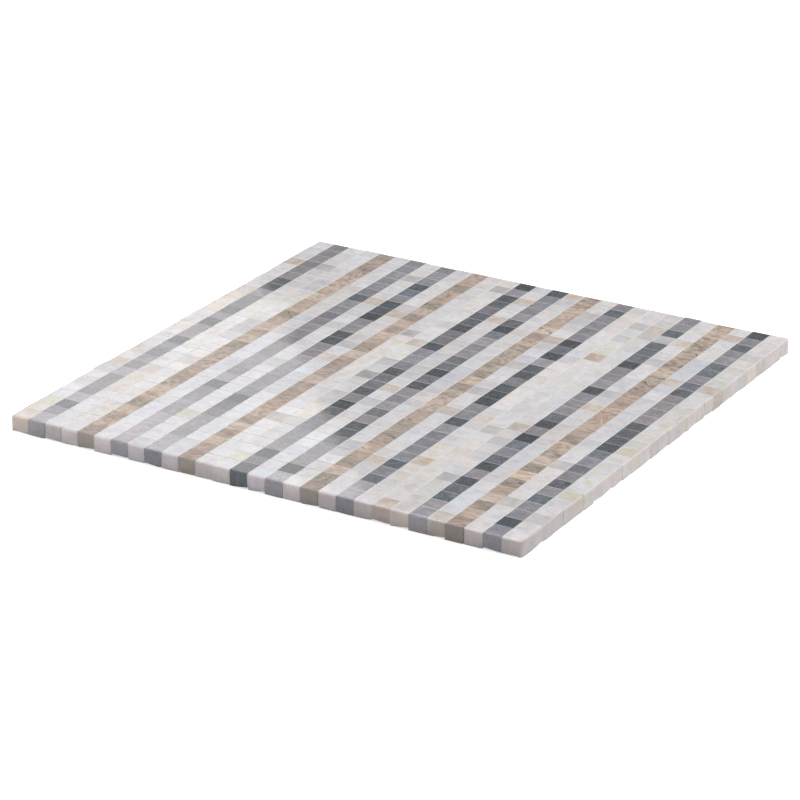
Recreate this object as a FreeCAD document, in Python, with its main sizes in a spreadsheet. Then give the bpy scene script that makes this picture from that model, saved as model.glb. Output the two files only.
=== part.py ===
# Marble mosaic sheet: strips of small square stone tiles, laid side by side and face up
# on a backing scrim of glass yarns, which is glued to the backs of the tiles.
# X runs across the strips, Y along them and Z up. The origin is below the centre of the
# sheet, on the plane that the scrim lies on. Lengths are in millimetres.
import FreeCAD, Part
import math
import os
import Sketcher

SIZES = "Sizes"

# Alias, value, meaning
DRIVING_SIZES = [
    ("strip_count", 29, "strips of tiles, side by side along X"),
    ("tiles_per_strip", 29, "tiles in each strip, one behind another along Y"),
    ("tile_side", 10.3, "side of a square tile"),
    ("tile_thickness", 8.2, "stone, from the polished face to the sawn back"),
    ("joint_width", 0.2, "open joint between two tiles, which lie nearly edge to edge"),
    ("yarn_pitch", 5.0, "spacing of the scrim's yarns, centre to centre"),
    ("yarn_width", 0.8, "width of a flat glass yarn"),
    ("warp_thickness", 0.25, "thickness of the yarns along Y, glued to the tiles"),
    ("weft_thickness", 0.25, "thickness of the yarns along X, under the warp"),
    ("scrim_margin", 2.0, "least distance from the sheet's edge to the scrim's edge"),
]

# The stone of each strip, from the left edge of the sheet to the right
STRIP_STONES = [
    "cream", "grey", "cream", "cream", "timber", "white", "grey", "white", "grey", "white",
    "timber", "cream", "cream", "grey", "white", "grey", "white", "timber", "white", "grey",
    "cream", "cream", "cream", "grey", "white", "timber", "white", "grey", "cream",
]

TILE_PITCH = f"({SIZES}.tile_side + {SIZES}.joint_width)"
SHEET_WIDTH = f"({SIZES}.strip_count * {TILE_PITCH} - {SIZES}.joint_width)"
SHEET_LENGTH = f"({SIZES}.tiles_per_strip * {TILE_PITCH} - {SIZES}.joint_width)"
SCRIM_THICKNESS = f"({SIZES}.warp_thickness + {SIZES}.weft_thickness)"


def make_size_sheet(doc):
    """Puts the driving dimensions in the document's spreadsheet, one aliased cell each."""
    sheet = doc.addObject("Spreadsheet::Sheet", SIZES)
    for row, (alias, value, meaning) in enumerate(DRIVING_SIZES, start=1):
        sheet.set(f"A{row}", alias)
        sheet.set(f"B{row}", str(value))
        sheet.set(f"C{row}", meaning)
        sheet.setAlias(f"B{row}", alias)
    doc.recompute()
    return sheet


def origin_feature(body, role):
    """The body's own origin plane or axis with that role, such as XY_Plane."""
    return next(item for item in body.Origin.OriginFeatures if item.Role == role)


def centred_rectangle(body, name, width, length):
    """A sketch on the body's XY plane: a rectangle about the origin, sized by two expressions."""
    sketch = body.newObject("Sketcher::SketchObject", name)
    sketch.AttachmentSupport = [(origin_feature(body, "XY_Plane"), "")]
    sketch.MapMode = "FlatFace"
    corners = [(-1, -1), (1, -1), (1, 1), (-1, 1)]
    for start, end in zip(corners, corners[1:] + corners[:1]):
        sketch.addGeometry(
            Part.LineSegment(FreeCAD.Vector(*start, 0), FreeCAD.Vector(*end, 0)), False
        )
    for side in range(4):
        sketch.addConstraint(Sketcher.Constraint("Coincident", side, 2, (side + 1) % 4, 1))
    for side in (0, 2):
        sketch.addConstraint(Sketcher.Constraint("Horizontal", side))
    for side in (1, 3):
        sketch.addConstraint(Sketcher.Constraint("Vertical", side))
    sketch.addConstraint(Sketcher.Constraint("Symmetric", 0, 1, 1, 2, -1, 1))
    for edge, kind, label, size in ((0, "DistanceX", "width", width), (1, "DistanceY", "length", length)):
        constraint = sketch.addConstraint(Sketcher.Constraint(kind, edge, 1, edge, 2, 2.0))
        sketch.renameConstraint(constraint, label)
        sketch.setExpression(f"Constraints.{label}", size)
    return sketch


def patterned_block(doc, label, width, length, thickness, axis, spacing, count):
    """A body of equal separate blocks in a row: one padded rectangle, repeated along an axis."""
    body = doc.addObject("PartDesign::Body", label)
    body.Label = label
    body.AllowCompound = True
    pad = body.newObject("PartDesign::Pad", f"{label}_block")
    pad.Profile = centred_rectangle(body, f"{label}_outline", width, length)
    pad.setExpression("Length", thickness)
    row = body.newObject("PartDesign::LinearPattern", f"{label}_row")
    row.Originals = [pad]
    row.Direction = (origin_feature(body, axis), [""])
    row.Mode = "Spacing"
    row.setExpression("Offset", spacing)
    row.setExpression("Occurrences", count)
    body.Tip = row
    return body


def make_strip(doc, number, stone):
    """One strip of tiles, resting on the scrim. Strip 1 is at the sheet's left edge."""
    strip = patterned_block(
        doc,
        f"strip_{number:02d}_{stone}",
        width=f"{SIZES}.tile_side",
        length=f"{SIZES}.tile_side",
        thickness=f"{SIZES}.tile_thickness",
        axis="Y_Axis",
        spacing=TILE_PITCH,
        count=f"{SIZES}.tiles_per_strip",
    )
    strip.setExpression("Placement.Base.x", f"({number} - ({SIZES}.strip_count + 1) / 2) * {TILE_PITCH}")
    strip.setExpression("Placement.Base.y", f"(1 - {SIZES}.tiles_per_strip) / 2 * {TILE_PITCH}")
    strip.setExpression("Placement.Base.z", SCRIM_THICKNESS)
    return strip


def yarns_each_side(span):
    """Expression: how many yarns fit between the middle yarn and the scrim's margin."""
    return f"floor(({span} / 2 - {SIZES}.scrim_margin - {SIZES}.yarn_width / 2) / {SIZES}.yarn_pitch)"


def make_warp(doc):
    """The yarns that run along the strips. They are glued to the backs of the tiles."""
    each_side = yarns_each_side(SHEET_WIDTH)
    warp = patterned_block(
        doc,
        "scrim_warp_yarns",
        width=f"{SIZES}.yarn_width",
        length=f"{SHEET_LENGTH} - 2 * {SIZES}.scrim_margin",
        thickness=f"{SIZES}.warp_thickness",
        axis="X_Axis",
        spacing=f"{SIZES}.yarn_pitch",
        count=f"2 * {each_side} + 1",
    )
    warp.setExpression("Placement.Base.x", f"-{each_side} * {SIZES}.yarn_pitch")
    warp.setExpression("Placement.Base.z", f"{SIZES}.weft_thickness")
    return warp


def make_weft(doc):
    """The yarns that run across the strips, bonded to the underside of the warp."""
    each_side = yarns_each_side(SHEET_LENGTH)
    weft = patterned_block(
        doc,
        "scrim_weft_yarns",
        width=f"{SHEET_WIDTH} - 2 * {SIZES}.scrim_margin",
        length=f"{SIZES}.yarn_width",
        thickness=f"{SIZES}.weft_thickness",
        axis="Y_Axis",
        spacing=f"{SIZES}.yarn_pitch",
        count=f"2 * {each_side} + 1",
    )
    weft.setExpression("Placement.Base.y", f"-{each_side} * {SIZES}.yarn_pitch")
    return weft


def check_and_export(doc, bodies):
    """Stops on a failed object or a wrong solid count, then writes each body as a STEP file."""
    failed = [item.Name for item in doc.Objects if {"Invalid", "Error"} & set(item.State)]
    if failed:
        raise RuntimeError(f"failed objects: {failed}")
    os.makedirs("parts", exist_ok=True)
    for body in bodies:
        shape = body.Shape
        if shape.isNull() or not shape.isValid():
            raise RuntimeError(f"{body.Label} has no valid shape")
        blocks = body.Tip.Occurrences
        expected = body.Tip.Originals[0].Shape.Volume * blocks
        if len(shape.Solids) != blocks or not math.isclose(shape.Volume, expected, rel_tol=1e-6):
            raise RuntimeError(f"{body.Label} has {len(shape.Solids)} solids, not {blocks}")
        shape.exportStep(f"parts/{body.Label}.step")
        print(f"{body.Label}: {blocks} solids, {shape.Volume:.0f} mm3")


def main():
    doc = FreeCAD.newDocument("MosaicSheet")
    sizes = make_size_sheet(doc)
    strips = [
        make_strip(doc, number, STRIP_STONES[(number - 1) % len(STRIP_STONES)])
        for number in range(1, int(sizes.strip_count) + 1)
    ]
    scrim = [make_warp(doc), make_weft(doc)]
    doc.recompute()
    check_and_export(doc, strips + scrim)


main()
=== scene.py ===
# Marble mosaic sheet: 29 strips of 29 small square tiles, face up on a scrim of glass yarns
import math

import bpy
import numpy as np
from mathutils import Matrix, Quaternion, Vector


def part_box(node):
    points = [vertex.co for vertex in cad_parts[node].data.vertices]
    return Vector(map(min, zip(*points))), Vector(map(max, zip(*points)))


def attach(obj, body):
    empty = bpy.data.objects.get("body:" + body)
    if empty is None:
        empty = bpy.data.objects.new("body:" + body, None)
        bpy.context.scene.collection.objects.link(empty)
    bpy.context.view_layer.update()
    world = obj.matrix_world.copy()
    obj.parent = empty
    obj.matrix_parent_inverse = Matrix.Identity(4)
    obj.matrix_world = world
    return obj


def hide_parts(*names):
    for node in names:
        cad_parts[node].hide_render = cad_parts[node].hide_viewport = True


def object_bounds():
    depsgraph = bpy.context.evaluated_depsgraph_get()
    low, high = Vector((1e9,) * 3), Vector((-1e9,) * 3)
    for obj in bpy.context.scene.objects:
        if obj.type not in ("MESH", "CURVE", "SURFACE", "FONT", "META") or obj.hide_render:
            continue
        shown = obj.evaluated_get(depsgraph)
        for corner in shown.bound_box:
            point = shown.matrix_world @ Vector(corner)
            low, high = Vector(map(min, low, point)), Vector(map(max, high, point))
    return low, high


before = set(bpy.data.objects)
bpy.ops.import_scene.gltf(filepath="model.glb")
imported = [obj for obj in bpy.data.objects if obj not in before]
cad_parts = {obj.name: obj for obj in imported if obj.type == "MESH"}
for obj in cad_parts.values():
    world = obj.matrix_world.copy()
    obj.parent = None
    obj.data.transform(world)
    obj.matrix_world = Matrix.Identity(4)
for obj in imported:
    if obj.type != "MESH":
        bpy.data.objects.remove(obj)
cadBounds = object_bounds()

mm = 0.001  # the frame is in metres, and the sizes below are in millimetres

# The camera looks down on the sheet from the front right
camera = {
    "azimuth": 30.7212,  # degrees, from the front round to the right
    "elevation": 22.9499,
    "distance": 1831.9,  # mm, from the point it looks at
    "lookAt": (12.45, -32.05, 8.85),
    "lens": 155.6,
    "sensor": 36.0,
}


def makeCamera():
    turn, rise = math.radians(camera["azimuth"]), math.radians(camera["elevation"])
    back = Vector((math.sin(turn) * math.cos(rise), -math.cos(turn) * math.cos(rise), math.sin(rise)))
    data = bpy.data.cameras.new("camera")
    data.lens = camera["lens"]
    data.sensor_width = camera["sensor"]
    data.clip_start, data.clip_end = 0.05, 60
    holder = bpy.data.objects.new("camera", data)
    bpy.context.scene.collection.objects.link(holder)
    holder.location = Vector(camera["lookAt"]) * mm + back * camera["distance"] * mm
    holder.rotation_mode = "QUATERNION"
    holder.rotation_quaternion = (-back).to_track_quat("-Z", "Y")
    bpy.context.scene.camera = holder


makeCamera()
print("camera set")


def linear(hexColour):
    # an sRGB hex colour as linear red, green, blue and alpha
    channels = [int(hexColour[i : i + 2], 16) / 255 for i in (1, 3, 5)]
    return [c / 12.92 if c <= 0.04045 else ((c + 0.055) / 1.055) ** 2.4 for c in channels] + [1.0]


def addNode(tree, kind, sockets=None, output=0, **settings):
    # A shader node with its settings, and with a value or another node's output in its sockets.
    # It gives back one of its own outputs.
    node = tree.nodes.new("ShaderNode" + kind)
    for name, value in settings.items():
        if name == "stops":  # of a colour ramp: place and colour
            elements = node.color_ramp.elements
            while len(elements) < len(value):
                elements.new(1.0)
            for element, (position, colour) in zip(elements, value):
                element.position = position
                element.color = colour
        else:
            setattr(node, name, value)
    for socket, value in (sockets or {}).items():
        if isinstance(value, bpy.types.NodeSocket):
            tree.links.new(value, node.inputs[socket])
        else:
            node.inputs[socket].default_value = value
    return node.outputs[output] if node.outputs else None


# A Mix node set to colours numbers its sockets so
mixBy, mixUnder, mixOver, mixed = 0, 6, 7, 2


def evenStops(hexColours):
    # the stops of a colour ramp that runs evenly through some colours
    return [(number / (len(hexColours) - 1), linear(colour)) for number, colour in enumerate(hexColours)]


def newMaterial(name):
    material = bpy.data.materials.new(name)
    material.use_nodes = True
    material.node_tree.nodes.clear()
    return material


# White marble: nearly pure calcite. Sugar-like crystals, a faint grey cloud, and light that
# enters a little way in at the edges
whiteMarble = {
    "tints": ("#D5D6DD", "#DBD7DA", "#DDD9DA", "#E1D9D4"),  # from cool tiles to warm ones
    "cloud": "#BCBAC1",
    "cloudSize": 6.0,  # mm
    "cloudShare": 0.65,
    "tinge": 0.18,
    "tingeSize": 6.0,
    "patches": ("#CBCDC2", "#DACBC4"),
    "patchSize": 7.0,
    "streak": "#B9B6BE",
    "streakWidth": 1.4,
    "streakShare": 0.5,
    "vein": "#B4B2B8",
    "veinSize": 18.0,
    "crystal": 0.7,
    "crystalShare": 0.055,
    "arris": "#F6F5F4",
    "bruise": 1.5,  # how strongly the pale arrises show: bruised stone, with a painted highlight
    "sawn": "#E6D7DD",
    "polish": 0.075,
    "depth": 0.85,  # share of light that passes through the stone
    "ior": 1.5,
}

# Cream marble: the same white stone with iron and clay in it, in warm and yellow-green clouds
creamMarble = {
    **whiteMarble,
    "tints": ("#DBD9E0", "#DCDADE", "#DFDBDD", "#E2DBD8"),
    "cloud": "#C1BDBE",
    "cloudSize": 5.0,
    "cloudShare": 0.6,
    "tinge": 0.19,
    "patches": ("#CCCDB4", "#DAC6B3"),
    "patchSize": 6.0,
    "streak": "#BFB8B8",
    "streakWidth": 1.6,
    "vein": "#B9AC9E",
    "crystalShare": 0.04,
    "arris": "#F8F4EE",
    "bruise": 1.6,
    "sawn": "#DCD0CD",
}

# Moss-tinged marble: the odd cream tile that is stained through with yellow-green, and mottled
mossMarble = {
    **creamMarble,
    "tints": ("#D5D0C6", "#D8D4CC"),
    "cloud": "#C8C5B4",
    "cloudSize": 3.5,
    "cloudShare": 0.6,
    "patches": ("#C2C0A2", "#CBC2AA"),
    "patchSize": 3.5,
}

# Rose-beige marble: the odd warm tile in a pale strip
roseMarble = {
    **whiteMarble,
    "tints": ("#C4BCB8", "#C6BAB3", "#C6B6AB"),
    "cloud": "#D6D0CE",
    "cloudSize": 4.0,
    "cloudShare": 0.8,
    "tinge": 0.24,
    "tingeSize": 4.0,
    "patches": ("#B9B1A3", "#C0A998"),
    "patchSize": 6.0,
    "streak": "#B3A196",
    "streakWidth": 1.0,
    "vein": "#94857A",
    "veinSize": 14.0,
    "crystalShare": 0.05,
    "arris": "#EAE2DA",
    "bruise": 1.2,
    "sawn": "#D3C9C4",
    "polish": 0.09,
    "depth": 0.6,
}

# Pale grey marble: the odd cloudy tile in a pale strip
mistMarble = {
    **roseMarble,
    "tints": ("#B6B3BA", "#B9B3B5", "#BBB2AD"),
    "cloud": "#CCC8CA",
    "cloudSize": 5.0,
    "tinge": 0.3,
    "tingeSize": 5.0,
    "patches": ("#98959A", "#A39A96"),
    "streak": "#8F8B92",
    "streakWidth": 1.2,
    "streakShare": 0.6,
    "vein": "#86848A",
    "crystalShare": 0.06,
    "arris": "#E8E6E5",
    "bruise": 1.1,
    "sawn": "#B7B4B6",
    "polish": 0.08,
    "depth": 0.5,
}

# Grey marble: calcite with fine carbon in it, laid down in layers that show as faint streaks
greyMarble = {
    **whiteMarble,
    "tints": ("#86898F", "#8A888E", "#8C878A", "#93868F"),  # blue, plain, brown and rose-grey tiles
    "cloud": "#A49FA7",
    "cloudSize": 4.0,
    "cloudShare": 0.75,
    "tinge": 0.25,
    "tingeSize": 5.0,
    "patches": ("#7D7F86", "#958986"),
    "patchSize": 5.0,
    "streak": "#6E6D76",
    "streakWidth": 0.9,
    "streakShare": 0.8,
    "vein": "#B9B8BE",
    "crystal": 0.8,
    "crystalShare": 0.15,
    "arris": "#D6D5D8",
    "bruise": 0.9,
    "sawn": "#A9A8B1",
    "polish": 0.07,
    "depth": 0.2,
    "ior": 1.6,
}

# Charcoal marble: more carbon, so nearly black, with pale calcite flecks and hair veins
charcoalMarble = {
    **greyMarble,
    "tints": ("#5B616C", "#62656B", "#67646A"),  # blue, plain and rose-grey tiles
    "cloud": "#7B8188",
    "cloudSize": 3.5,
    "cloudShare": 0.7,
    "tinge": 0.3,
    "patches": ("#4F575D", "#555459"),
    "patchSize": 4.0,
    "streak": "#8A9094",
    "streakWidth": 0.8,
    "streakShare": 0.85,
    "vein": "#B4B8B9",
    "veinSize": 20.0,
    "crystalShare": 0.26,
    "arris": "#C9CBCD",
    "sawn": "#6B7279",
    "depth": 0.0,
}


# What the marbles below have in common
calcite = {
    "clouds": (4, 0.55, 0.4, 0.4, 0.68),  # detail, roughness and distortion of their noise, and the
    "streaks": (3, 0.5, 0.3, 0.48, 0.74),  # levels where it starts to show and where it shows in full
    "patches": (3, 0.5, 0.2, 0.42, 0.66),
    "crystals": (1, 0.6, 0.0, 0.3, 0.7),
    "streakStretch": (0.12, 1.0, 0.5),  # thin along the strip, long across it
    "patchShift": (31, 17, 53),  # mm, so that they don't follow the clouds
    "tingeHue": (1.0, 0.6, 1.0),  # how far red, green and blue change
    "veinHalf": 0.011,  # half the width of a vein, as a level of its noise
    "veinShare": 0.6,
    "sawnPatch": 0.2,  # how much more the patches show on a sawn side
    "sawnShare": 0.5,
    "sawMark": (1.0, 0.22, 0.12),  # to the mm, along each axis
    "sawShade": 0.22,
    "sawDepth": 0.04,  # mm
    "sawnRough": 0.8,
    "lightPaths": (1.0, 0.88, 0.82),  # how far red, green and blue light goes in the stone
    "lightDepth": 3.0,  # mm
}


def makeMarble(name, look):
    # The face is ground and polished to a clear reflection. The sides are as the saw left them, so they
    # are dull and a little powdery, and the arrises are pale: bruised stone, with a painted highlight
    # along them.
    material = newMaterial(name)
    tree = material.node_tree
    place = addNode(tree, "Attribute", None, "Vector", attribute_name="quarryPlace")
    tint, tone, patched, veined, streaked, arris, sawn = (
        addNode(tree, "Attribute", None, "Fac", attribute_name=mark)
        for mark in ("tileTint", "tileTone", "tilePatch", "tileVein", "tileStreak", "arris", "sawn")
    )

    # Streaks run across the strip, as the tiles were all sawn from slats the same way
    stretch = np.array(calcite["streakStretch"]) / look["streakWidth"]
    layered = addNode(tree, "Mapping", {"Vector": place, "Scale": stretch})
    moved = addNode(tree, "VectorMath", {0: place, 1: calcite["patchShift"]}, operation="ADD")
    sparkle = look["crystalShare"]
    shown = []
    for field, at, size, least, most in (
        ("clouds", place, look["cloudSize"], 0, look["cloudShare"]),
        ("streaks", layered, 1, 0, look["streakShare"]),
        ("patches", moved, look["patchSize"], 0, 1),
        ("crystals", place, look["crystal"], 1 - sparkle, 1 + sparkle),
    ):
        detail, rough, bent, low, high = calcite[field]
        noise = {"Vector": at, "Scale": 1 / size, "Detail": detail, "Roughness": rough, "Distortion": bent}
        edge = {"From Min": low, "From Max": high, "To Min": least, "To Max": most}
        shown.append(addNode(tree, "MapRange", {"Value": addNode(tree, "TexNoise", noise)} | edge))
    clouds, streaks, patches, glint = shown
    green, warm = (linear(colour) for colour in look["patches"])
    patch = addNode(tree, "Mix", {mixBy: tint, mixUnder: green, mixOver: warm}, mixed, data_type="RGBA")
    sockets = {0: sawn, 1: calcite["sawnPatch"], 2: patched}
    blotched = addNode(tree, "Math", sockets, operation="MULTIPLY_ADD")

    # Traces of iron, clay and carbon tinge the stone a little more here than there
    noise = {"Vector": place, "Scale": 1 / look["tingeSize"], "Detail": 2, "Distortion": 0.2}
    tinge = addNode(tree, "TexNoise", noise, "Color")
    most = np.array(calcite["tingeHue"]) * look["tinge"]
    tinge = addNode(tree, "VectorMath", {0: tinge, 1: most, 2: 1 - most / 2}, operation="MULTIPLY_ADD")

    # A vein is where a slow noise passes through its middle value
    noise = {"Vector": moved, "Scale": 1 / look["veinSize"], "Detail": 1, "Distortion": 0.4}
    offMiddle = addNode(tree, "Math", {0: addNode(tree, "TexNoise", noise), 1: 0.5}, operation="SUBTRACT")
    fromMiddle = addNode(tree, "Math", {0: offMiddle}, operation="ABSOLUTE")
    edge = {"From Max": calcite["veinHalf"], "To Min": calcite["veinShare"], "To Max": 0.0}
    veins = addNode(tree, "MapRange", {"Value": fromMiddle} | edge)

    # The saw left upright lines on the front and back sides, about 1 mm apart. They are a bump, and the
    # same noise paints the shade of their grooves into the colour.
    marks = addNode(tree, "Mapping", {"Vector": place, "Scale": calcite["sawMark"]})
    marks = addNode(tree, "TexNoise", {"Vector": marks, "Scale": 1, "Detail": 2})
    sawHeight = addNode(tree, "Math", {0: marks, 1: 0.5}, operation="SUBTRACT")
    sawHeight = addNode(tree, "Math", {0: sawHeight, 1: sawn}, operation="MULTIPLY")
    sockets = {0: sawHeight, 1: calcite["sawShade"], 2: 1.0}
    sawShade = addNode(tree, "Math", sockets, operation="MULTIPLY_ADD")
    level = addNode(tree, "Math", {0: glint, 1: tone}, operation="MULTIPLY")
    level = addNode(tree, "Math", {0: level, 1: sawShade}, operation="MULTIPLY")

    # Laid over one another: how each blends in, its share here and there, its strength and what it is
    layers = (
        ("MIX", clouds, 1.0, linear(look["cloud"])),
        ("MULTIPLY", 1.0, 1.0, tinge),
        ("MIX", streaks, streaked, linear(look["streak"])),
        ("MIX", patches, blotched, patch),
        ("MIX", veins, veined, linear(look["vein"])),
        ("MIX", sawn, calcite["sawnShare"], linear(look["sawn"])),
        # the pale arrises: bruised stone, and a painted highlight for the light they catch
        ("MIX", arris, look["bruise"], linear(look["arris"])),
        ("MULTIPLY", 1.0, 1.0, level),
    )
    colour = addNode(tree, "ValToRGB", {"Fac": tint}, stops=evenStops(look["tints"]))
    depth = calcite["sawDepth"] * mm
    rough = {"Value": sawn, "To Min": look["polish"], "To Max": calcite["sawnRough"]}
    for blend, share, strength, over in layers:
        share = addNode(tree, "Math", {0: share, 1: strength}, operation="MULTIPLY")
        sockets = {mixBy: share, mixUnder: colour, mixOver: over}
        colour = addNode(tree, "Mix", sockets, mixed, data_type="RGBA", blend_type=blend)
    shader = addNode(
        tree,
        "BsdfPrincipled",
        {
            "Base Color": colour,
            "Roughness": addNode(tree, "MapRange", rough),
            "IOR": look["ior"],
            "Normal": addNode(tree, "Bump", {"Height": sawHeight, "Distance": depth, "Strength": 0.5}),
            "Subsurface Weight": look["depth"],
            "Subsurface Radius": calcite["lightPaths"],
            "Subsurface Scale": calcite["lightDepth"] * mm,
        },
        subsurface_method="RANDOM_WALK",
    )
    addNode(tree, "OutputMaterial", {"Surface": shader})
    return material


# Timber marble: a limestone of thin brown and beige layers. Cut across them, it shows a grain
# like wood, with olive and tan patches, and its soft layers take less polish than the others
timberMarble = {
    "grain": ((0.37, "#C8BAAE"), (0.5, "#A5958B"), (0.64, "#64564C")),  # levels and colours of it
    "tints": ("#928D7E", "#9F9086", "#B3968A", "#BFA893", "#CEBEB2"),  # olive, brown, rose, tan and sand
    "tintShare": 0.45,
    "layer": 2.2,  # mm, a band of the grain
    "thread": 0.8,  # a fine line of it, drawn coarser than the real one, so that it shows
    "layerShare": 0.45,
    "threadShare": 0.75,
    "grainBase": -0.1,
    "stretch": (0.16, 1.0, 0.06),
    "bendSize": 8.0,
    "bend": 7.0,
    "patch": "#C6B5A5",
    "patchEdge": (0.48, 0.6, 1.0),  # levels of the noise where it starts and shows in full, and share
    "stain": "#7E7266",
    "stainEdge": (0.46, 0.34, 0.7),
    "patchSize": 3.2,
    "mark": "#57493E",
    "markSize": 5.0,
    "markWander": 9.0,  # mm, from side to side
    "markWidth": (0.2, 0.95),  # at the thinnest and at the widest
    "markEdge": (0.36, 0.6),  # levels of the noise that has it so
    "markCore": 0.08,
    "markShare": 0.95,
    "pore": "#4E4036",
    "poreApart": 2.6,
    "poreSize": (0.05, 0.11),  # as a share of that, and how much larger in a marked tile
    "poreShare": 0.8,
    "arris": "#D2C6BA",
    "arrisShare": 0.5,
    "sawn": "#A29D95",
    "sawnShare": 0.75,
    "polish": 0.36,
    "sawnRough": 0.6,
    "relief": 0.04,  # mm, of the grain and the pores
}


def makeTimberMarble(name, look):
    material = newMaterial(name)
    tree = material.node_tree
    place = addNode(tree, "Attribute", None, "Vector", attribute_name="quarryPlace")
    tint, tone, patched, marked, seamPlace, arris, sawn = (
        addNode(tree, "Attribute", None, "Fac", attribute_name=mark)
        for mark in ("tileTint", "tileTone", "tilePatch", "tileVein", "seamPlace", "arris", "sawn")
    )

    # The layers stand on edge across the strip: long in X and Z, thin in Y, and gently bent
    noise = {"Vector": place, "Scale": 1 / look["bendSize"], "Detail": 2}
    sockets = {0: addNode(tree, "TexNoise", noise, "Color"), 1: (0, look["bend"], 0), 2: place}
    bent = addNode(tree, "VectorMath", sockets, operation="MULTIPLY_ADD")
    grain = look["grainBase"]
    for band, share, detail in (("layer", "layerShare", 2), ("thread", "threadShare", 3)):
        layer = addNode(tree, "Mapping", {"Vector": bent, "Scale": np.array(look["stretch"]) / look[band]})
        layer = addNode(tree, "TexNoise", {"Vector": layer, "Scale": 1, "Detail": detail})
        sockets = {0: layer, 1: look[share], 2: grain}
        grain = addNode(tree, "Math", sockets, operation="MULTIPLY_ADD")

    # Pale patches and brown stains with soft edges
    patches = addNode(tree, "TexNoise", {"Vector": bent, "Scale": 1 / look["patchSize"], "Detail": 4})
    patch, stain = (
        addNode(tree, "MapRange", {"Value": patches, "From Min": low, "From Max": high, "To Max": most})
        for low, high, most in (look["patchEdge"], look["stainEdge"])
    )

    # Dark seams, curved and uneven. A tile that has one says how far each point is from its line
    curves = addNode(tree, "TexNoise", {"Vector": place, "Scale": 1 / look["markSize"], "Detail": 1.5})
    sockets = {0: curves, 1: look["markWander"], 2: seamPlace}
    offLine = addNode(tree, "Math", sockets, operation="MULTIPLY_ADD")
    fromLine = addNode(tree, "Math", {0: offLine}, operation="ABSOLUTE")
    (low, high), (thin, wide) = look["markEdge"], look["markWidth"]
    edge = {"Value": patches, "From Min": low, "From Max": high, "To Min": thin, "To Max": wide}
    width = addNode(tree, "MapRange", edge)
    edge = {"From Min": look["markCore"], "From Max": width, "To Min": look["markShare"], "To Max": 0.0}
    seam = addNode(tree, "MapRange", {"Value": fromLine} | edge)

    # Pores: small dark pits, a few to a tile, most in the marked tiles
    pits = {"Vector": place, "Scale": 1 / look["poreApart"], "Randomness": 1.0}
    pits = addNode(tree, "TexVoronoi", pits)
    least, more = look["poreSize"]
    size = addNode(tree, "Math", {0: marked, 1: more, 2: least}, operation="MULTIPLY_ADD")
    edge = {"Value": pits, "From Max": size, "To Min": look["poreShare"], "To Max": 0.0}
    pore = addNode(tree, "MapRange", edge)

    hue = addNode(tree, "ValToRGB", {"Fac": tint}, stops=evenStops(look["tints"]))
    layers = (
        ("MIX", look["tintShare"], 1.0, hue),
        ("MIX", patch, patched, linear(look["patch"])),
        ("MIX", stain, patched, linear(look["stain"])),
        ("MIX", seam, marked, linear(look["mark"])),
        ("MIX", pore, 1.0, linear(look["pore"])),
        ("MIX", sawn, look["sawnShare"], linear(look["sawn"])),
        ("MIX", arris, look["arrisShare"], linear(look["arris"])),
        ("MULTIPLY", 1.0, 1.0, tone),
    )
    stops = [(level, linear(colour)) for level, colour in look["grain"]]
    colour = addNode(tree, "ValToRGB", {"Fac": grain}, stops=stops)
    rough = {"Value": sawn, "To Min": look["polish"], "To Max": look["sawnRough"]}
    height = addNode(tree, "Math", {0: layer, 1: pore}, operation="SUBTRACT")
    relief = {"Height": height, "Distance": look["relief"] * mm, "Strength": 0.5}
    for blend, share, strength, over in layers:
        share = addNode(tree, "Math", {0: share, 1: strength}, operation="MULTIPLY")
        sockets = {mixBy: share, mixUnder: colour, mixOver: over}
        colour = addNode(tree, "Mix", sockets, mixed, data_type="RGBA", blend_type=blend)
    shader = addNode(
        tree,
        "BsdfPrincipled",
        {
            "Base Color": colour,
            "Roughness": addNode(tree, "MapRange", rough),
            "IOR": 1.5,
            "Normal": addNode(tree, "Bump", relief),
        },
    )
    addNode(tree, "OutputMaterial", {"Surface": shader})
    return material


stoneMaterials = {
    "white": makeMarble("whiteMarble", whiteMarble),
    "cream": makeMarble("creamMarble", creamMarble),
    "moss": makeMarble("mossMarble", mossMarble),
    "rose": makeMarble("roseMarble", roseMarble),
    "mist": makeMarble("mistMarble", mistMarble),
    "grey": makeMarble("greyMarble", greyMarble),
    "charcoal": makeMarble("charcoalMarble", charcoalMarble),
    "timber": makeTimberMarble("timberMarble", timberMarble),
}
print("stones made")

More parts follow.
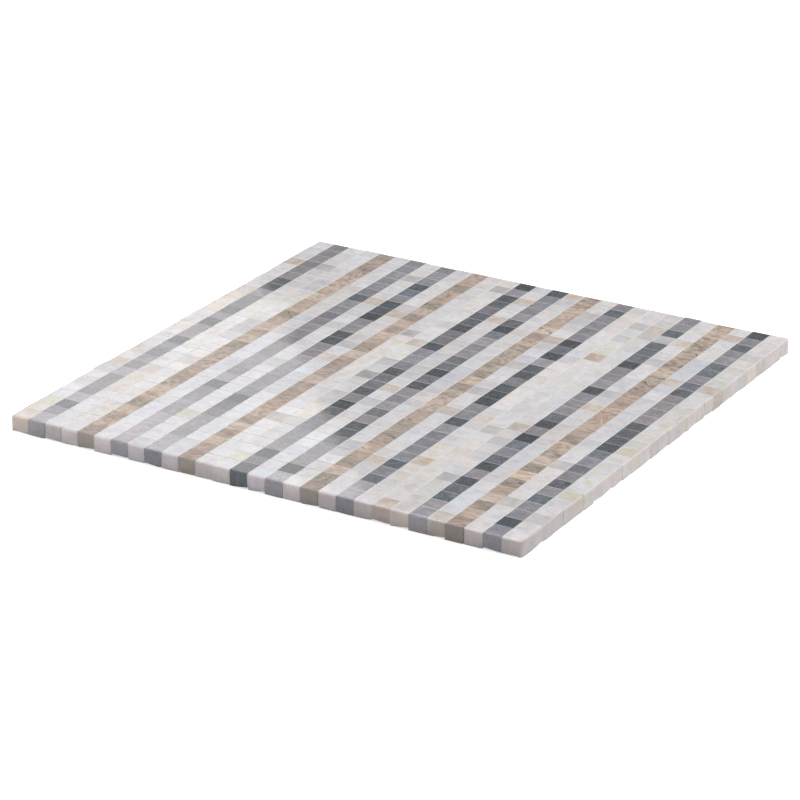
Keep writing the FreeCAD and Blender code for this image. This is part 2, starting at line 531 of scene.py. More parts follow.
# Which tiles are not the strip's own stone: strip number, counted from the left, and the rows,
# counted from the front, which is row 0
laying = {
    "charcoal": {
        2: (2, 12, 15, 17, 22), 7: (8, 22), 9: (6, 24), 14: (8, 11, 13, 22, 23, 25),
        16: (6, 7, 14, 16, 17, 21, 23), 20: (2, 4, 18, 21, 27), 24: (2, 3, 7, 9, 13, 22, 23, 24, 26),
        28: (4, 6, 8, 10, 12, 13, 14, 19, 20, 22, 23, 26),
    },
    "ashen": {9: (24,), 14: (13,), 16: (14, 16, 17, 21), 24: (9,), 28: (4, 8, 10, 20)},  # the palest
    "black": {  # and the darkest
        2: (21,), 9: (7, 16, 17, 20, 21, 22, 25), 14: (0, 2, 9, 14, 18, 21, 26, 28),
        16: (1, 13, 15, 22, 28), 20: (10, 13, 14, 15, 17, 20, 22), 24: (4, 6, 10, 12, 17, 21),
        28: (1, 11, 28),
    },
    "mist": {
        3: (25,), 4: (22, 23), 6: (16,), 8: (26,), 12: (19,), 13: (13, 27), 19: (14, 18), 23: (4,),
        24: (25,),
    },
    "rose": {
        1: (8, 10, 25), 8: (22,), 10: (14, 21), 12: (6,), 13: (18,), 15: (12, 23, 26), 17: (28,),
        19: (4, 11, 22), 21: (5, 11), 22: (0, 21), 23: (11, 26), 25: (0, 15, 25), 27: (20, 27), 29: (20,),
    },
    "pale": {2: (0, 3, 7), 7: (0, 1, 2, 3), 9: (0, 1), 16: (0,), 20: (0, 1), 24: (0,)},  # of the grey
    "light": {16: (10, 20), 20: (19,), 24: (1,)},
    "dim": {2: (10, 18, 19), 7: (15,), 9: (5,), 14: (1, 6, 7, 12, 19, 20, 24), 16: (5, 9)},
    "darkSided": {  # layered stone, darker below its face
        3: (0,), 9: (0,), 19: (0,), 20: (0,), 21: (0,), 22: (0,), 25: (0,), 27: (0,), 29: (0,),
    },
    "paleSided": {14: (0,)},  # and paler
    "peach": {1: (0, 19), 22: (21,)},  # with a warm patch
    "moss": {1: (2,), 8: (4,), 13: (1,), 29: (5, 11)},  # with a green patch
    "duller": {  # a shade deeper than the rest of their stone; near the front of strips 13 to 17 it is painted shade that dims the reflection on their faces
        1: (7, 20), 2: (11, 27), 4: (10, 15, 16), 5: (20, 22), 8: (4, 12), 9: (15,), 10: (16, 22),
        11: (8, 17, 22), 12: (6,), 13: (3, 4, 5, 6, 9, 10, 13, 15, 21), 14: (21,), 15: (10,),
        17: (1, 2, 4, 5), 18: (4, 6, 28), 19: (26,), 20: (24,), 22: (10, 24, 26), 23: (9, 25),
        25: (17, 22), 27: (3, 8), 29: (2, 11, 12),
    },
    "brighter": {  # a shade lighter
        3: (28,), 4: (19, 22, 23), 6: (16,), 8: (17, 19), 9: (13, 14), 14: (28,), 17: (28,), 19: (23,),
        21: (11,), 26: (6, 7, 15, 17, 20), 28: (3,), 29: (13,),
    },
    "veined": {14: (27,), 28: (22,)},  # with a white hair vein
    "streaked": {14: (22, 26), 20: (21, 22, 25), 24: (2, 3), 28: (10, 23)},
    "sand": {  # the palest of the timber tiles
        5: (3, 6, 14, 16, 21), 11: (2, 4, 11, 15, 22), 18: (2, 5, 11, 15, 21, 23),
        26: (1, 3, 6, 8, 10, 21, 27),
    },
    "umber": {  # and the darkest
        5: (4, 13, 18, 26, 28), 11: (13, 16, 19, 21, 23, 26), 18: (1, 3, 7, 9, 14, 16, 22),
        26: (2, 5, 7, 11, 18, 22),
    },
    "seamed": {5: (18, 26), 11: (16, 23), 18: (7, 21, 23, 27), 26: (5, 15, 19, 20, 22, 24, 25)},
}

tile = {
    "pitch": 10.5,  # mm, as the CAD model has it
    "joint": (0.02, 0.06),  # least and most open joint between two tiles
    "uneven": (0.10, 0.25),  # how far a joint across the strip strays from its place, and at most
    "cuts": (0.0, 0.12, 0.40, 1.0),  # in from a side, where the mesh is cut
    "faceCuts": (0.0, 0.12, 0.32, 1.0),
    "backCuts": (0.0, 0.30, 1.0),
    "outerCuts": (0.0, 0.12, 0.40, 0.95, 2.1),  # the same for the tiles round the sheet
    "arrisUneven": 0.015,
    "sideArris": 0.08,
    "faceArris": (0.08, (0.8, 1.3)),  # eased by the polishing heads; and its share in one tile
    "backArris": (0.28, (0.6, 1.5)),
    "arrisFade": 0.6,  # how far from its edge it reaches
    "radii": (0.02, 2.5),
    "outerArris": (0.6, 1.2),  # along the sheet's own edge, which is rubbed round
    "outerBack": (0.05, 0.15),
    "outerSide": 0.02,  # between two tiles there
    "outerCorner": (0.4, 0.9),
    "outerFade": 0.8,
    "rubbedClean": 0.6,  # least share of the pale arrises that the rubbing takes off there
    "rubbedCorner": 2.4,  # the sheet's front right corner
    "lip": 0.8,  # how far the sheet's lower edge hangs below the backs of its tiles, at most
    "lipRise": 1.5,  # how much less far that is in places
    "lipDepth": 2.1,
    "lipFade": 1.2,
    "proud": {  # how far the tiles on the sheet's edge stand beyond the CAD face, and how unequally
        "left": (0.55, 0.26),
        "right": (0.75, 0.12),
        "front": (1.3, 0.14),
        "back": (0.65, 0.26),
    },
    "proudMost": 0.5,  # how far from that one tile may be
    "edgeReach": 0.4,  # how near that edge a tile's side has to be to count as one of them
    "faceRise": 0.15,  # how far the faces stand above the CAD face
    "faceDrop": 0.03,  # and how unequally
    "chips": ((-1, 0.5, 1.1), (1, 0.06, 0.6)),  # back, then face: share of corners, and largest
    "leastChip": 0.3,
    "backRise": ((0.22, 0.10), 0.45),  # how much thinner a tile is, inside and on the edge; and at most
    "tilt": 0.04,  # degrees
    "twist": (0.2, 0.06),  # degrees, inside the sheet and on its edge
    "bruised": (0.16, 0.16, 0.16),  # width of the pale arrises (bruised stone with a painted highlight), beside joints along each axis
    "bruisedPale": (0.34, 0.18, 0.18),
    "paintedEdgeShading": 0.16,  # painted shade: how much darker the colour is along its long outer top edges, where their rounding catches the lamp
    "glow": 0.13,  # painted light: how much lighter the colour is along the front and back edges, for the light that gets in there
    "glowFade": (0.8, 1.8),  # inwards and downwards
    "sawnFrom": (0.02, 0.3),  # how far below the face the polish ends, and over what depth
    "sawnEdge": (1.1, 0.7, 0.8),  # on the rubbed edge: level, how fast it falls inwards, and most
    "crossCut": (0.12, 80),  # share of the timber tiles that are turned, and by how many degrees
    "charcoalTurn": (25, 60),  # degrees
    "seamSlant": 20,
    "seamAside": 1.2,
}


def newPiece(name, points, faces):
    # a smooth mesh of points in mm, as an object of the scene
    mesh = bpy.data.meshes.new(name)
    mesh.from_pydata((points * mm).tolist(), [], faces)
    mesh.polygons.foreach_set("use_smooth", [True] * len(faces))
    piece = bpy.data.objects.new(name, mesh)
    bpy.context.scene.collection.objects.link(piece)
    return piece


def boxGrid(places):
    # the surface of a box, cut at those places along each axis: its points and outward faces
    numbers, points, faces = {}, [], []
    for axis in range(3):
        u, v = (axis + 1) % 3, (axis + 2) % 3
        last = len(places[axis]) - 1
        for end in (0, last):
            for i in range(len(places[u]) - 1):
                for j in range(len(places[v]) - 1):
                    ring = []
                    for du, dv in ((0, 0), (1, 0), (1, 1), (0, 1)):
                        key = [0, 0, 0]
                        key[axis], key[u], key[v] = end, i + du, j + dv
                        key = tuple(key)
                        if key not in numbers:
                            numbers[key] = len(points)
                            points.append([places[k][key[k]] for k in range(3)])
                        ring.append(numbers[key])
                    faces.append(ring if end else ring[::-1])
    return np.array(points), np.array(faces)


def easeEdges(points, half, radius):
    # moves the points of a box onto a box with rounded edges, with its own radius at each point
    reach = half - radius[:, None]
    inner = np.clip(points, -reach, reach)
    out = points - inner
    return inner + out / np.linalg.norm(out, axis=1)[:, None] * radius[:, None]


def roundEdge(points, half, first, second, radius):
    # rounds one edge of a box, between two of its faces, each given by its axis and its side
    inside = [radius - (half[axis] - side * points[:, axis]) for axis, side in (first, second)]
    near = (inside[0] > 0) & (inside[1] > 0)
    scale = np.where(near, np.maximum(*inside) / np.maximum(np.hypot(*inside), 1e-6), 1.0)
    for (axis, side), depth in zip((first, second), inside):
        points[:, axis] += side * depth * (scale - 1)


def turned(*degrees):
    # a turn about X, then Y, then Z
    turns = [Matrix.Rotation(math.radians(turn), 3, axis) for turn, axis in zip(degrees, "XYZ")]
    return np.array(turns[2] @ turns[1] @ turns[0])


def makeTile(rng, grid, half, outer, bruised):
    # One tile about its own centre, in mm. outer says which of its sides are on the sheet's edge, and the
    # last argument how wide its pale arrises are beside the joints along each axis: bruised stone with a
    # painted highlight.
    points = grid * half
    depth = half - np.abs(points)  # how far each point is from the nearest face along each axis
    fromFace, fromBack = half[2] - points[:, 2], half[2] + points[:, 2]
    fromSides = [half[axis] - side * points[:, axis] for axis, side in outer]

    radius = tile["sideArris"] + rng.normal(0, tile["arrisUneven"], len(points))
    for (arris, shares), away in ((tile["faceArris"], fromFace), (tile["backArris"], fromBack)):
        radius += (arris * rng.uniform(*shares) - tile["sideArris"]) * np.exp(-away / tile["arrisFade"])
    nearOuter = [np.exp(-fromSide / tile["outerFade"]) for fromSide in fromSides]
    for near in nearOuter:
        radius += (tile["outerSide"] - radius) * near
    for x in (-1, 1):
        for y in (-1, 1):
            for z, share, largest in tile["chips"]:
                size = rng.uniform(tile["leastChip"], largest)
                if rng.random() < share:
                    away = np.linalg.norm(points - half * (x, y, z), axis=1)
                    radius += size * np.exp(-((away / size) ** 2))
    shape = easeEdges(points, half, np.clip(radius, *tile["radii"]))

    for face in outer:
        roundEdge(shape, half, face, (2, 1), rng.uniform(*tile["outerArris"]))
        roundEdge(shape, half, face, (2, -1), rng.uniform(*tile["outerBack"]))
    if len(outer) == 2:
        rubbed = outer == [(0, 1), (1, -1)]
        corner = tile["rubbedCorner"] if rubbed else rng.uniform(*tile["outerCorner"])
        roundEdge(shape, half, *outer, corner)
    for axis, side in outer:
        near = np.clip((tile["lipDepth"] - half[axis] + side * points[:, axis]) / tile["lipFade"], 0, 1)
        ends = tile["lip"] - tile["lipRise"] * rng.random(2) ** 3  # mostly low, with the odd high one
        along = points[:, 1 - axis] / half[1 - axis] / 2 + 0.5
        shape[:, 2] -= (ends[0] + (ends[1] - ends[0]) * along) * near * np.clip(1 - fromBack, 0, 1)
    twist = tile["twist"][bool(outer)]
    shape = shape @ turned(*rng.normal(0, tile["tilt"], 2), rng.normal(0, twist)).T

    arris = np.exp(-np.sort(depth / bruised, axis=1)[:, 1])  # 1 on an edge, 0 on the open face: where the pale arris, bruised and with a painted highlight, shows
    for near in nearOuter:  # where it is rubbed round, the pale arris fades
        arris *= (1 - near * np.clip(np.exp(-fromFace / tile["outerFade"]), tile["rubbedClean"], 1)) ** 2
    start, run = tile["sawnFrom"]
    sawn = np.clip((fromFace - start) / run, 0, 1)
    level, fade, most = tile["sawnEdge"]
    # painted edge shading: darker along the left and right outer top edges, lighter along the front and
    # back edges
    paintedEdgeShading = np.zeros(len(points))
    for (axis, _), fromSide in zip(outer, fromSides):
        sawn = np.maximum(sawn, np.clip(level - fromSide / fade, 0, 1) * most)
        if axis == 0:
            # painted shade over the rounded outer top edge
            paintedEdgeShading += tile["paintedEdgeShading"] * np.exp(-np.hypot(fromSide, fromFace))
        else:
            # painted light along the front and back edges
            paintedEdgeShading -= tile["glow"] * np.exp(-fromSide / tile["glowFade"][0] - fromFace / tile["glowFade"][1])
    return shape, arris, sawn, paintedEdgeShading


# How unlike one another the slats are that the tiles were sawn from
slats = {
    "tiles": (1, 5),  # a slat has from 1 to 4 tiles
    "tone": (1.005, 0.047),  # middle and spread, where 1 is the stone's own
    "deep": (0.1, (0.03, 0.1)),  # share of them that are deeper, and by how much
    "patchy": 0.22,  # share of them that are patchy
    "patches": ((0, 0.2), (0.3, 0.9)),  # in the plain ones and in the patchy ones
    "turns": (3, 6, 9),  # degrees about each axis
    "quarry": 400,  # mm, how far away its stone may be from another's, either way
}


def newSlat(rng):
    # Tiles sawn from one slat lie side by side, so their stone runs on from one to the next.
    # A slat has the number of its tiles, their common look and its own place in the quarry.
    share, deeper = slats["deep"]
    return {
        "tiles": rng.integers(*slats["tiles"]),
        "tone": rng.normal(*slats["tone"]) - (rng.random() < share) * rng.uniform(*deeper),
        "tint": rng.uniform(0, 1),
        "patch": rng.uniform(*slats["patches"][bool(rng.random() < slats["patchy"])]),
        "turn": turned(*(rng.normal(0, spread) for spread in slats["turns"])),
        "place": rng.uniform(-slats["quarry"], slats["quarry"], 3),
    }


# How the tiles of one stone differ. Tone is 1 for the stone's own, and tint runs from 0 to 1
# along its tints. Two numbers are the least and the most, or the middle and the spread.
variety = {
    "toneSpread": 0.02,  # within a slat
    "tintSpread": 0.08,
    "streak": (0.1, 0.7),
    "veined": 0.03,  # share of the tiles with a vein
    "blackTone": (0.43, 0.76),
    "blackTint": 0.4,  # of the slat's own
    "charcoalTone": (0.8, 1.04),
    "ashenTone": 1.25,
    "brownTone": 0.93,  # of the charcoal tiles at the front left, which are browner
    "brownTint": (0.6, 1.0),
    "greyTone": 0.97,
    "greySpreads": (0.07, 0.10),  # everywhere else, and at the front left
    "greyTint": (0.1, 0.55),
    "lilacTint": (0.55, 0.95),  # of the grey tiles at the front left
    "whitePatch": 0.5,  # of the slat's own
    "coolTint": 0.4,
    "rosePatch": (0.5, 1.0),
    "timberSpread": 0.05,
    "timberTint": (0.1, 0.5),
    "timberPatch": (0, 0.8),
    "leftTimber": (0.05, 0.15),  # more tone and tint in the timber strips at the left
    "sandTone": (1.11, 0.04),
    "sandTint": (0.7, 1.0),
    "umberTone": (0.86, 0.04),
    "umberTint": (0, 0.35),
    "dullerTone": 0.82,
    "brighterTone": 1.18,
    "sideTone": (1, 0.045),  # of a tile's sides, times its face's
    "sideTint": 0.2,
    "evenTone": (0.99, 0.5),  # middle, and share of the spread, of a pale side of the sheet
    "cornerShade": (0.16, 7),  # how much deeper its front corner is, and over how many rows
    "paleSide": (1.1, (0.3, 1.0)),  # tone and tint, below the palest grey faces
    "darkSide": 0.86,
    "greySide": (0.98, 0.0),
}

# Tiles of a kind that have a look of their own
kinds = {
    "pale": {"tileTone": 1.32},
    "light": {"tileTone": 1.22, "tileTint": 0.7},
    "dim": {"tileTone": 0.7},
    "moss": {"tilePatch": 0.6},
    "peach": {"tileTone": 0.94, "tileTint": 1.0, "tilePatch": 1.6},
    "veined": {"tileVein": 1.0},
    "streaked": {"tileStreak": 1.0},
}


def lookOf(rng, stone, strip, row, slat, found):
    # what one tile's own piece of its stone looks like: tone, tint, patches, vein and streaks
    tone = slat["tone"] + rng.normal(0, variety["toneSpread"])
    tint = np.clip(slat["tint"] + rng.normal(0, variety["tintSpread"]), 0, 1)
    patch, streak = slat["patch"], rng.uniform(*variety["streak"])
    vein = float(rng.random() < variety["veined"])
    if "black" in found:
        tone = rng.uniform(*variety["blackTone"])
        tint *= variety["blackTint"]
    elif stone == "charcoal":
        tone = variety["ashenTone"] if "ashen" in found else rng.uniform(*variety["charcoalTone"])
    elif stone == "grey":
        tone = rng.normal(variety["greyTone"], variety["greySpreads"][strip < 12 and row < 20])
        least, more = variety["greyTint"]
        tint = rng.uniform(*variety["lilacTint"]) if strip < 12 and row < 17 else least + tint * more
    if stone == "charcoal" and strip < 17 and row < 18:
        tone, tint = tone * variety["brownTone"], rng.uniform(*variety["brownTint"])
    if stone == "white":
        patch *= variety["whitePatch"]
        if strip < 12 and row < 16:  # one end of these strips is cooler
            tint *= variety["coolTint"]
    elif stone == "rose":
        patch = rng.uniform(*variety["rosePatch"])
    elif stone == "timber":
        least, more = variety["timberTint"]
        tone, tint = slat["tone"] + rng.normal(0, variety["timberSpread"]), least + slat["tint"] * more
        patch = rng.uniform(*variety["timberPatch"])
        if strip < 12:
            tone, tint = tone + variety["leftTimber"][0], tint + variety["leftTimber"][1]
        for name in ("sand", "umber"):
            if name in found:
                tone = rng.normal(*variety[f"{name}Tone"])
                tint = rng.uniform(*variety[f"{name}Tint"])
        vein = float("seamed" in found)
    look = {"tileTone": tone, "tileTint": tint, "tilePatch": patch, "tileVein": vein, "tileStreak": streak}
    for name, own in kinds.items():
        look.update(own if name in found else {})
    return look


def sidesOf(rng, stone, strip, row, look, found):
    # tone and tint of one tile's sides
    tone = look["tileTone"] * rng.normal(*variety["sideTone"])
    tint = np.clip(look["tileTint"] + rng.normal(0, variety["sideTint"]), 0, 1)
    onRight = strip == len(stripNodes)
    if onRight or row == 0 and stone in ("white", "cream"):
        middle, share = variety["evenTone"]
        tone = middle + (tone - 1) * share
    if onRight:
        deeper, rows = variety["cornerShade"]
        tone -= deeper * max(0, 1 - row / rows)
    if "pale" in found:
        tone, tint = variety["paleSide"][0], rng.uniform(*variety["paleSide"][1])
    if "darkSided" in found:
        tone = min(look["tileTone"], 1.0) * variety["darkSide"]
        tint = 0.0 if stone == "grey" else tint
    if "paleSided" in found:
        tone, tint = variety["greySide"]
    return tone, tint


def stoneOf(rng, own, strip, row, slat):
    # the stone of one tile, and the values of its marks, on its face and on its sides
    found = {name for name, strips in laying.items() if row in strips.get(strip, ())}
    stone = next((name for name in ("charcoal", "mist", "rose", "moss") if name in found), own)
    stone = "charcoal" if "black" in found else stone
    look = lookOf(rng, stone, strip, row, slat, found)
    sideTone, sideTint = sidesOf(rng, stone, strip, row, look, found)
    # duller tiles are a shade deeper; near the front of strips 13 to 17 that is painted shade over their
    # reflection
    for name in ("duller", "brighter"):
        look["tileTone"] *= variety[f"{name}Tone"] if name in found else 1
    values = {name: (value, value) for name, value in look.items()}
    values.update(tileTone=(look["tileTone"], sideTone), tileTint=(look["tileTint"], sideTint))
    return stone, values


def boxOf(rng, low, high, row, strays):
    # the box of one tile of a strip, in mm, and which of its sides are on the sheet's edge
    sheetLow, sheetHigh = (np.array(corner) / mm for corner in cadBounds)
    centre = np.array([(low[0] + high[0]) / 2, low[1] + (high[0] - low[0]) / 2 + row * tile["pitch"]])
    jointLow, jointHigh = rng.uniform(*tile["joint"], (2, 2)) / 2
    tileLow, tileHigh = centre - tile["pitch"] / 2 + jointLow, centre + tile["pitch"] / 2 - jointHigh
    tileLow[1] += strays[row]
    tileHigh[1] += strays[row + 1]
    outer = []
    for axis, names in enumerate((("left", "right"), ("front", "back"))):
        for name, side, corner, sheet in zip(names, (-1, 1), (tileLow, tileHigh), (sheetLow, sheetHigh)):
            if side * (corner[axis] - sheet[axis]) > -tile["edgeReach"]:
                proud, ragged = tile["proud"][name]
                stray = np.clip(rng.normal(0, ragged), -tile["proudMost"], tile["proudMost"])
                corner[axis] = sheet[axis] + side * proud + side * stray
                outer.append((axis, side))
    spreads, most = tile["backRise"]
    backRise = min(abs(rng.normal(0, spreads[bool(outer)])), most)
    faceRise = tile["faceRise"] - rng.uniform(0, tile["faceDrop"])
    return np.append(tileLow, low[2] + backRise), np.append(tileHigh, high[2] + faceRise), outer


def makeStrip(node, rng):
    # the tiles of one strip, as one mesh of separate tiles round the strip's own CAD solids
    number, own = int(node.split("_")[1]), node.split("_")[2]
    low, high = (np.array(corner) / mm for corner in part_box(node))
    side, thickness = high[0] - low[0], high[2] - low[2]
    count = round((high[1] - low[1] + tile["pitch"] - side) / tile["pitch"])
    grids = []
    for cuts, faceCuts in ((tile["cuts"], tile["faceCuts"]), (tile["outerCuts"], tile["outerCuts"])):
        across = [*cuts, side / 2, *(side - cut for cut in reversed(cuts))]
        up = [*tile["backCuts"], *(thickness - cut for cut in reversed(faceCuts))]
        across, up = np.array(across) / side * 2 - 1, np.array(up) / thickness * 2 - 1
        grids.append(boxGrid([across, across, up]))
    spread, most = tile["uneven"]
    strays = np.clip(rng.normal(0, spread, count + 1), -most, most)
    points, quads, slots, places, used = [], [], [], [], []
    names = ("tileTone", "tileTint", "tilePatch", "tileVein", "tileStreak", "seamPlace", "arris", "sawn")
    marks = {name: [] for name in names}
    left = 0
    for row in range(count):
        if left == 0:
            slat = newSlat(rng)
            left = slat["tiles"]
        left -= 1
        stone, values = stoneOf(rng, own, number, row, slat)
        tileLow, tileHigh, outer = boxOf(rng, low, high, row, strays)
        half, centre = (tileHigh - tileLow) / 2, (tileHigh + tileLow) / 2
        grid, faces = grids[bool(outer)]
        pale = stone in ("white", "cream", "moss", "rose", "mist")
        bruised = tile["bruisedPale" if pale else "bruised"]
        shape, arris, sawn, paintedEdgeShading = makeTile(rng, grid, half, outer, bruised)
        turn, place = slat["turn"], slat["place"] - slat["turn"] @ (0, tile["pitch"] * left, 0)
        if own == "timber" and rng.random() < tile["crossCut"][0]:
            turn = turned(0, 0, tile["crossCut"][1]) @ turn
        if stone == "charcoal":
            turn = turned(0, 0, rng.choice((-1, 1)) * rng.uniform(*tile["charcoalTurn"])) @ turn
        if stone not in (own, "moss") or own in ("grey", "timber"):
            place = rng.uniform(-slats["quarry"], slats["quarry"], 3)
        places.append(shape @ turn.T + place)
        quads.append(faces + sum(len(part) for part in points))
        # no tile's lip hangs below the sheet
        shape[:, 2] = np.maximum(shape[:, 2], cadBounds[0][2] / mm - centre[2])
        points.append(shape + centre)
        if stone not in used:
            used.append(stone)
        slots += [used.index(stone)] * len(faces)
        for name, (onFace, onSides) in values.items():
            # the painted edge shading darkens or lightens the tone
            shade = 1 - paintedEdgeShading if name == "tileTone" else 1
            marks[name].append((onFace + (onSides - onFace) * sawn) * shade)
        slant = math.radians(rng.normal(0, tile["seamSlant"]))
        aside = shape[:, 1] * math.cos(slant) + shape[:, 0] * math.sin(slant)
        aside += rng.normal(0, tile["seamAside"]) - timberMarble["markWander"] / 2
        marks["seamPlace"].append(aside)
        marks["arris"].append(arris)
        marks["sawn"].append(sawn)
    piece = newPiece(f"tiles_{number:02d}_{own}", np.concatenate(points), np.concatenate(quads).tolist())
    for name, values in marks.items():
        attribute = piece.data.attributes.new(name, "FLOAT", "POINT")
        attribute.data.foreach_set("value", np.concatenate(values).astype(np.float32))
    attribute = piece.data.attributes.new("quarryPlace", "FLOAT_VECTOR", "POINT")
    attribute.data.foreach_set("vector", np.concatenate(places).astype(np.float32).ravel())
    for stone in used:
        piece.data.materials.append(stoneMaterials[stone])
    piece.data.polygons.foreach_set("material_index", slots)
    piece.data.update()
    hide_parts(node)
    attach(piece, "root")


stripNodes = sorted(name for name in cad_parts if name.startswith("strip_"))
for node in stripNodes:
    makeStrip(node, np.random.default_rng(int(node.split("_")[1])))
print("strips laid")

# The scrim is a leno mesh of glass yarns: each weft yarn is a flat bundle, and each warp yarn
# is two strands, one over the weft and one under it, that change sides between crossings
scrim = {
    "pitch": 5.0,  # mm, as the CAD model has it
    "yarnWidth": 0.8,
    "middle": 0.25,  # height of the weft's centre
    "weft": (0.78, 0.17, 8),  # width, thickness and sides of its section
    "weftUneven": 0.005,
    "weftSteps": 61,
    "strand": (0.40, 0.16, 6),
    "strandApart": 0.17,
    "strandRise": 0.165,  # of a strand over the weft, and drop of the one under it
    "strandSlack": 0.06,  # how much less the lower one drops between crossings
    "warpSteps": 121,
    "wander": 0.06,  # how far a yarn strays from its line
    "knotSteps": 12,  # from one bend of it to the next
    "uneven": 0.1,  # radians, from one warp yarn's crossings to another's
    "draw": 77,  # starts its own random draws
    "resin": "#E9EAE6",
    "glass": "#DDE3E0",
    "blotch": 3.0,
    "filament": 0.15,
    "filamentDepth": 0.02,
}


def tubeFaces(first, steps, sides):
    # the faces of a closed tube, whose points are numbered ring by ring from the first
    faces = []
    last = first + (steps - 1) * sides
    for start in range(first, last, sides):
        for i in range(sides):
            j = (i + 1) % sides
            faces.append((start + i, start + sides + i, start + sides + j, start + j))
    return faces + [tuple(range(first, first + sides)), tuple(range(last + sides - 1, last - 1, -1))]


def makeYarns(name, lines, axis, section):
    # flat tubes along an axis: each line is the row of its centre points, in mm
    width, thickness, sides = section
    turn = np.arange(sides) / sides * 2 * math.pi
    ring = np.zeros((sides, 3))
    ring[:, 1 - axis] = np.cos(turn) * width / 2 * (1 if axis else -1)
    ring[:, 2] = np.sin(turn) * thickness / 2
    points, faces = [], []
    for line in lines:
        faces += tubeFaces(sum(len(part) for part in points), len(line), sides)
        points.append((line[:, None] + ring[None]).reshape(-1, 3))
    return newPiece(name, np.concatenate(points), faces)


def makeGlassYarn(name):
    # Glass yarn dipped in resin and dried: white, a little see-through at its edges, with
    # the lengthwise shine of its filaments
    material = newMaterial(name)
    tree = material.node_tree
    place = addNode(tree, "TexCoord", None, "Object")
    noise = {"Vector": place, "Scale": 1 / (scrim["blotch"] * mm), "Detail": 3}
    blotches = addNode(tree, "TexNoise", noise)
    stops = [(0.35, linear(scrim["glass"])), (0.65, linear(scrim["resin"]))]
    noise = {"Vector": place, "Scale": 1 / (scrim["filament"] * mm), "Detail": 1}
    relief = {"Height": addNode(tree, "TexNoise", noise), "Distance": scrim["filamentDepth"] * mm}
    shader = addNode(
        tree,
        "BsdfPrincipled",
        {
            "Base Color": addNode(tree, "ValToRGB", {"Fac": blotches}, stops=stops),
            "Roughness": 0.42,
            "IOR": 1.5,
            "Normal": addNode(tree, "Bump", relief | {"Strength": 0.6}),
            "Coat Weight": 0.4,
            "Coat Roughness": 0.25,
        },
    )
    addNode(tree, "OutputMaterial", {"Surface": shader})
    return material


def wandering(rng, count, spread):
    # random bends about zero, a few along a yarn
    knots = rng.normal(0, spread, max(4, count // scrim["knotSteps"]))
    return np.interp(np.linspace(0, len(knots) - 1, count), np.arange(len(knots)), knots)


def yarnPlaces(node, axis):
    # the box of a row of yarns, in mm, and where the middle of each yarn is along that axis
    low, high = (np.array(corner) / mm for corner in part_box(node))
    count = round((high[axis] - low[axis] - scrim["yarnWidth"]) / scrim["pitch"]) + 1
    first = low[axis] + scrim["yarnWidth"] / 2
    return low, high, [first + number * scrim["pitch"] for number in range(count)]


def makeScrim():
    yarn = makeGlassYarn("glassYarn")
    rng = np.random.default_rng(scrim["draw"])
    lines = []
    low, high, places = yarnPlaces("scrim_warp_yarns", 0)
    for x in places:
        y = np.linspace(low[1], high[1], scrim["warpSteps"])
        wander = wandering(rng, len(y), scrim["wander"])
        crossing = np.cos(y * math.pi / scrim["pitch"] + rng.normal(0, scrim["uneven"]))
        for side in (-1, 1):  # the strand under the weft, then the one over it
            z = scrim["middle"] + side * scrim["strandRise"]
            z = z + (side < 0) * scrim["strandSlack"] * (1 - crossing**2)
            lines.append(np.stack([x + wander + side * crossing * scrim["strandApart"], y, z], 1))
    warp = makeYarns("scrim_warp", lines, 1, scrim["strand"])
    lines = []
    low, high, places = yarnPlaces("scrim_weft_yarns", 1)
    for y in places:
        x = np.linspace(low[0], high[0], scrim["weftSteps"])
        z = np.full(len(x), scrim["middle"]) + rng.normal(0, scrim["weftUneven"], len(x))
        lines.append(np.stack([x, y + wandering(rng, len(x), scrim["wander"]), z], 1))
    weft = makeYarns("scrim_weft", lines, 0, scrim["weft"])
    for piece, node in ((warp, "scrim_warp_yarns"), (weft, "scrim_weft_yarns")):
        piece.data.materials.append(yarn)
        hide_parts(node)
        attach(piece, "root")


makeScrim()
print("scrim woven")

# The glue that holds the scrim is a milky resin, rolled on, so it lies in lines of uneven
# width along the warp yarns, between them and the backs of the tiles
glue = {
    "width": 1.9,  # mm
    "widths": (0.5, 2.3),  # least and most on either side of the yarn
    "uneven": 0.55,
    "swell": 0.6,  # how much of that the width follows
    "wander": 0.15,
    "end": 0.5,  # short of the yarns' ends
    "endWidth": 0.3,
    "steps": 117,
    "bottom": 0.30,
    "top": 0.62,
    "across": (-1.0, -0.5, 0.5, 1.0, 0.6, -0.6),  # of a section, round from its left edge
    "level": (0.75, 0.0, 0.0, 0.75, 1.0, 1.0),
    "colour": "#D9D8D2",
    "bubble": 0.8,
    "bubbleDepth": 0.08,
    "draw": 78,
}


def makeMilkyResin(name):
    material = newMaterial(name)
    tree = material.node_tree
    place = addNode(tree, "TexCoord", None, "Object")
    bubbles = addNode(tree, "TexNoise", {"Vector": place, "Scale": 1 / (glue["bubble"] * mm), "Detail": 3})
    relief = {"Height": bubbles, "Distance": glue["bubbleDepth"] * mm, "Strength": 0.7}
    shader = addNode(
        tree,
        "BsdfPrincipled",
        {
            "Base Color": linear(glue["colour"]),
            "Roughness": addNode(tree, "MapRange", {"Value": bubbles, "To Min": 0.16, "To Max": 0.38}),
            "IOR": 1.47,
            "Normal": addNode(tree, "Bump", relief),
            "Transmission Weight": 0.35,
        },
    )
    addNode(tree, "OutputMaterial", {"Surface": shader})
    return material


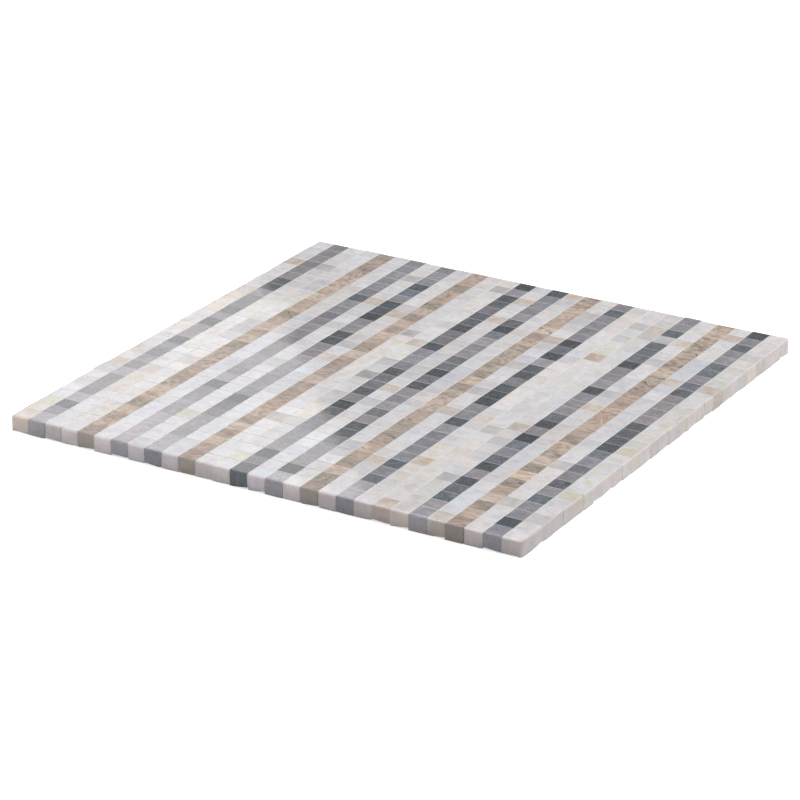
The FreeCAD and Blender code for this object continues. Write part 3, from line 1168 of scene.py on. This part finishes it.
def makeGlue():
    rng = np.random.default_rng(glue["draw"])
    low, high, places = yarnPlaces("scrim_warp_yarns", 0)
    across, level = np.array(glue["across"]), np.array(glue["level"])
    steps, sides = glue["steps"], len(across)
    points, faces = [], []
    for x in places:
        y = np.linspace(low[1] + glue["end"], high[1] - glue["end"], steps)
        halfWidth = glue["width"] / 2 * np.exp(rng.normal(0, glue["uneven"], steps) * glue["swell"])
        halfWidth = np.clip(halfWidth, *glue["widths"])
        halfWidth[[0, -1]] = glue["endWidth"]
        aside = wandering(rng, steps, glue["wander"])
        faces += [face[::-1] for face in tubeFaces(len(points) * steps * sides, steps, sides)]
        ring = np.zeros((steps, sides, 3))
        ring[:, :, 0] = x + aside[:, None] + halfWidth[:, None] * across
        ring[:, :, 1] = y[:, None]
        ring[:, :, 2] = glue["bottom"] + (glue["top"] - glue["bottom"]) * level
        points.append(ring.reshape(-1, 3))
    piece = newPiece("scrim_glue", np.concatenate(points), faces)
    piece.data.materials.append(makeMilkyResin("milkyResin"))
    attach(piece, "root")


makeGlue()
print("glue rolled on")

# The floor is plain white paper. Camera, glossy and transmitted rays see it with a glow
# added, so that it is white in the picture and still takes the sheet's shadow.
studio = {
    "floorHalf": 20000,  # mm
    "floor": "#EBEBEB",
    "floorGlow": 0.6,
    "surround": 0.22,  # level of the dim studio round the sheet
}


def makeFloor():
    material = newMaterial("whitePaper")
    tree = material.node_tree
    paper = addNode(tree, "BsdfDiffuse", {"Color": linear(studio["floor"])})
    seen = addNode(tree, "LightPath", None, "Is Camera Ray")
    for ray in ("Is Glossy Ray", "Is Transmission Ray"):
        too = addNode(tree, "LightPath", None, ray)
        seen = addNode(tree, "Math", {0: seen, 1: too}, operation="MAXIMUM")
    strength = addNode(tree, "Math", {0: seen, 1: studio["floorGlow"]}, operation="MULTIPLY")
    glow = addNode(tree, "Emission", {"Color": (1, 1, 1, 1), "Strength": strength})
    addNode(tree, "OutputMaterial", {"Surface": addNode(tree, "AddShader", {0: paper, 1: glow})})
    corners = np.array([(-1, -1, 0), (1, -1, 0), (1, 1, 0), (-1, 1, 0)])
    floor = newPiece("floor", corners * studio["floorHalf"], [(0, 1, 2, 3)])
    floor.data.materials.append(material)


def makeSurround():
    world = bpy.data.worlds.new("surround")
    bpy.context.scene.world = world
    world.use_nodes = True
    tree = world.node_tree
    tree.nodes.clear()
    level = studio["surround"]
    dim = addNode(tree, "Background", {"Color": (level, level, level, 1), "Strength": 1.0})
    addNode(tree, "OutputWorld", {"Surface": dim})


# Soft boxes: where each stands, in metres, the way it faces, how far it leans, its size and
# how bright its face is, where 1 is white
softBoxes = {
    "overhead": {
        "at": (0.48, 0.40, 1.42),
        "facing": (-0.48, -0.40, -1.42),
        "lean": 0.0,
        "size": (2.0, 2.0),
        "level": 2.0,
    },
    "behindLeft": {  # its right-hand edge is mirrored across the polished tiles
        "at": (-1.192, 1.212, 1.156),
        "facing": (0.5197, -0.7617, -0.3870),
        "lean": 23.75,
        "size": (0.9, 1.2),
        "level": 1.04,
    },
    "frontLeft": {  # a low one, for the left end of the front edge
        "at": (-0.50, -0.34, 0.10),
        "facing": (0.40, 0.25, -0.08),
        "lean": 0.0,
        "size": (0.30, 0.16),
        "level": 3.2,
    },
}


def makeSoftBox(name, box):
    data = bpy.data.lights.new(name, "AREA")
    data.shape = "RECTANGLE"
    width, height = box["size"]
    data.size, data.size_y = width, height
    data.energy = box["level"] * 4 * width * height  # watts, so that its face has that level
    lamp = bpy.data.objects.new(name, data)
    bpy.context.scene.collection.objects.link(lamp)
    lamp.location = box["at"]
    lamp.rotation_mode = "QUATERNION"
    lean = Quaternion((0, 0, 1), math.radians(box["lean"]))
    lamp.rotation_quaternion = Vector(box["facing"]).to_track_quat("-Z", "Y") @ lean
    lamp.visible_camera = False


makeFloor()
makeSurround()
for name, box in softBoxes.items():
    makeSoftBox(name, box)
print("studio lit")

bpy.context.scene.view_settings.view_transform = "Standard"
